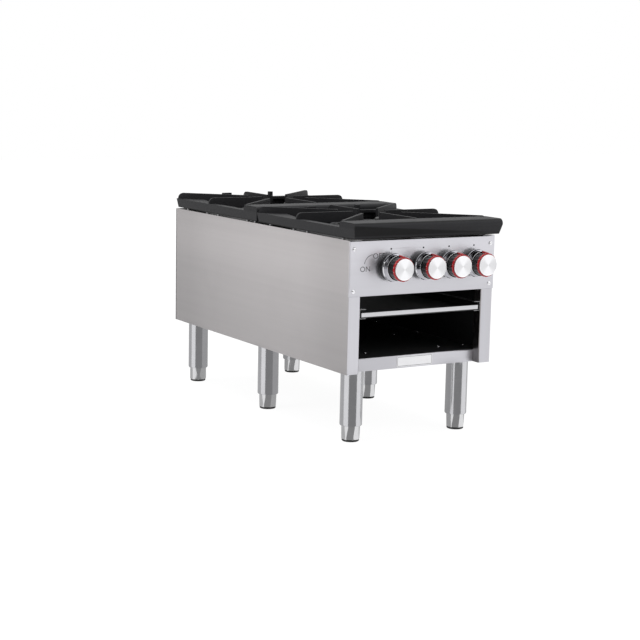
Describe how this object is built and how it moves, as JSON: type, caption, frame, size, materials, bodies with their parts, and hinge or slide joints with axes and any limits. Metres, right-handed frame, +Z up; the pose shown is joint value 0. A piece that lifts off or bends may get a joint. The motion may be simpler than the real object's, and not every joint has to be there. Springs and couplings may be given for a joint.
{
  "type": "stock pot range",
  "caption": "Low gas range for stock pots: two ring burners one behind the other under cast grates, open storage base, drip tray and six adjustable legs.",
  "frame": {"origin": "on the floor, under the middle of the whole range's box with its feet screwed in", "axes": "+Z up, +Y from the controls to the gas inlet at the back, +X to the right seen from the front"},
  "size_m": [0.465, 1.0868, 0.5842],
  "materials": {
    "side_steel": "satin brushed stainless, lengthwise grain",
    "front_steel": "satin brushed stainless, fine horizontal grain",
    "inner_steel": "dark coated sheet, matt",
    "tray_steel": "bright mill-finish sheet",
    "fastener_steel": "bright plated steel",
    "leg_steel": "polished tube",
    "pad_plastic": "black moulded glide",
    "bezel_chrome": "polished",
    "knob_black": "glossy black moulding",
    "pointer_red": "glossy red moulding",
    "cap_aluminium": "spun, circular grain",
    "brass": "machined",
    "black_pipe": "black steel pipe, matt",
    "plated_steel": "zinc plated, dull",
    "tube_aluminium": "satin",
    "cast_iron": "as cast, matt black, fine grain"
  },
  "bodies": {
    "root": {"air_shutters": "plated_steel", "back_panel": "side_steel", "base_rails": "inner_steel", "burner_bars": "inner_steel", "cabinet_floor": "inner_steel", "control_panel": "front_steel", "floor_screws": "fastener_steel", "front_bottom_rail": "front_steel", "front_inner_burner": "cast_iron", "front_outer_burner": "cast_iron", "gas_manifold": "black_pipe", "gas_valves": "brass", "grate_rests": "fastener_steel", "knob_bezels": "bezel_chrome", "leg_nuts": "inner_steel", "leg_plates": "inner_steel", "leg_tubes": "leg_steel", "name_plate": "front_steel", "orifice_hoods": "brass", "panel_screws": "fastener_steel", "pilot_burners": "tube_aluminium", "pilot_tubes": "tube_aluminium", "pilot_valves": "brass", "rear_inner_burner": "cast_iron", "rear_outer_burner": "cast_iron", "side_panel_left": "side_steel", "side_panel_right": "side_steel", "top_cross_member": "inner_steel", "tray_runners": "tray_steel"},
    "drip_tray": {"drip_tray": "tray_steel"},
    "insert_back_left": {"foot_insert_back_left": "leg_steel"},
    "insert_back_right": {"foot_insert_back_right": "leg_steel"},
    "insert_front_left": {"foot_insert_front_left": "leg_steel"},
    "insert_front_right": {"foot_insert_front_right": "leg_steel"},
    "insert_middle_left": {"foot_insert_middle_left": "leg_steel"},
    "insert_middle_right": {"foot_insert_middle_right": "leg_steel"},
    "pad_back_left": {"foot_pad_back_left": "pad_plastic"},
    "pad_back_right": {"foot_pad_back_right": "pad_plastic"},
    "pad_front_left": {"foot_pad_front_left": "pad_plastic"},
    "pad_front_right": {"foot_pad_front_right": "pad_plastic"},
    "pad_middle_left": {"foot_pad_middle_left": "pad_plastic"},
    "pad_middle_right": {"foot_pad_middle_right": "pad_plastic"},
    "front_grate": {"front_grate": "cast_iron"},
    "knob_1": {"knob_cap_1": "cap_aluminium", "knob_grip_1": "knob_black", "knob_pointer_1": "pointer_red", "valve_stem_1": "brass"},
    "knob_2": {"knob_cap_2": "cap_aluminium", "knob_grip_2": "knob_black", "knob_pointer_2": "pointer_red", "valve_stem_2": "brass"},
    "knob_3": {"knob_cap_3": "cap_aluminium", "knob_grip_3": "knob_black", "knob_pointer_3": "pointer_red", "valve_stem_3": "brass"},
    "knob_4": {"knob_cap_4": "cap_aluminium", "knob_grip_4": "knob_black", "knob_pointer_4": "pointer_red", "valve_stem_4": "brass"},
    "rear_grate": {"rear_grate": "cast_iron"}
  },
  "joints": [
    {"name": "knob_1_turn", "type": "hinge", "parent": "root", "child": "knob_1", "pos_m": [-0.103, -0.4776, 0.4645], "axis": [0, -1, 0], "range_deg": [0, 90]},
    {"name": "knob_2_turn", "type": "hinge", "parent": "root", "child": "knob_2", "pos_m": [-0.002, -0.4776, 0.4645], "axis": [0, -1, 0], "range_deg": [0, 90]},
    {"name": "knob_3_turn", "type": "hinge", "parent": "root", "child": "knob_3", "pos_m": [0.0795, -0.4776, 0.4645], "axis": [0, -1, 0], "range_deg": [0, 90]},
    {"name": "knob_4_turn", "type": "hinge", "parent": "root", "child": "knob_4", "pos_m": [0.1605, -0.4776, 0.4645], "axis": [0, -1, 0], "range_deg": [0, 90]},
    {"name": "drip_tray_pull", "type": "slide", "parent": "root", "child": "drip_tray", "axis": [0, -1, 0], "range_m": [0, 0.9]},
    {"name": "front_grate_lift", "type": "slide", "parent": "root", "child": "front_grate", "axis": [0, 0, 1], "range_m": [0, 0.1]},
    {"name": "rear_grate_lift", "type": "slide", "parent": "root", "child": "rear_grate", "axis": [0, 0, 1], "range_m": [0, 0.1]},
    {"name": "foot_front_left_drop", "type": "slide", "parent": "root", "child": "pad_front_left", "axis": [0, 0, -1], "range_m": [0, 0.025]},
    {"name": "foot_front_left_turn", "type": "hinge", "parent": "pad_front_left", "child": "insert_front_left", "pos_m": [-0.1694, -0.4096, 0], "axis": [0, 0, -1], "range_deg": [0, 4500]},
    {"name": "foot_front_right_drop", "type": "slide", "parent": "root", "child": "pad_front_right", "axis": [0, 0, -1], "range_m": [0, 0.025]},
    {"name": "foot_front_right_turn", "type": "hinge", "parent": "pad_front_right", "child": "insert_front_right", "pos_m": [0.1694, -0.4096, 0], "axis": [0, 0, -1], "range_deg": [0, 4500]},
    {"name": "foot_middle_left_drop", "type": "slide", "parent": "root", "child": "pad_middle_left", "axis": [0, 0, -1], "range_m": [0, 0.025]},
    {"name": "foot_middle_left_turn", "type": "hinge", "parent": "pad_middle_left", "child": "insert_middle_left", "pos_m": [-0.1694, 0.03665, 0], "axis": [0, 0, -1], "range_deg": [0, 4500]},
    {"name": "foot_middle_right_drop", "type": "slide", "parent": "root", "child": "pad_middle_right", "axis": [0, 0, -1], "range_m": [0, 0.025]},
    {"name": "foot_middle_right_turn", "type": "hinge", "parent": "pad_middle_right", "child": "insert_middle_right", "pos_m": [0.1694, 0.03665, 0], "axis": [0, 0, -1], "range_deg": [0, 4500]},
    {"name": "foot_back_left_drop", "type": "slide", "parent": "root", "child": "pad_back_left", "axis": [0, 0, -1], "range_m": [0, 0.025]},
    {"name": "foot_back_left_turn", "type": "hinge", "parent": "pad_back_left", "child": "insert_back_left", "pos_m": [-0.1694, 0.4829, 0], "axis": [0, 0, -1], "range_deg": [0, 4500]},
    {"name": "foot_back_right_drop", "type": "slide", "parent": "root", "child": "pad_back_right", "axis": [0, 0, -1], "range_m": [0, 0.025]},
    {"name": "foot_back_right_turn", "type": "hinge", "parent": "pad_back_right", "child": "insert_back_right", "pos_m": [0.1694, 0.4829, 0], "axis": [0, 0, -1], "range_deg": [0, 4500]}
  ],
  "couplings": [
    {"joint": "foot_front_left_drop", "follows": "foot_front_left_turn", "m_per_rad": 0.0003183},
    {"joint": "foot_front_right_drop", "follows": "foot_front_right_turn", "m_per_rad": 0.0003183},
    {"joint": "foot_middle_left_drop", "follows": "foot_middle_left_turn", "m_per_rad": 0.0003183},
    {"joint": "foot_middle_right_drop", "follows": "foot_middle_right_turn", "m_per_rad": 0.0003183},
    {"joint": "foot_back_left_drop", "follows": "foot_back_left_turn", "m_per_rad": 0.0003183},
    {"joint": "foot_back_right_drop", "follows": "foot_back_right_turn", "m_per_rad": 0.0003183}
  ]
}
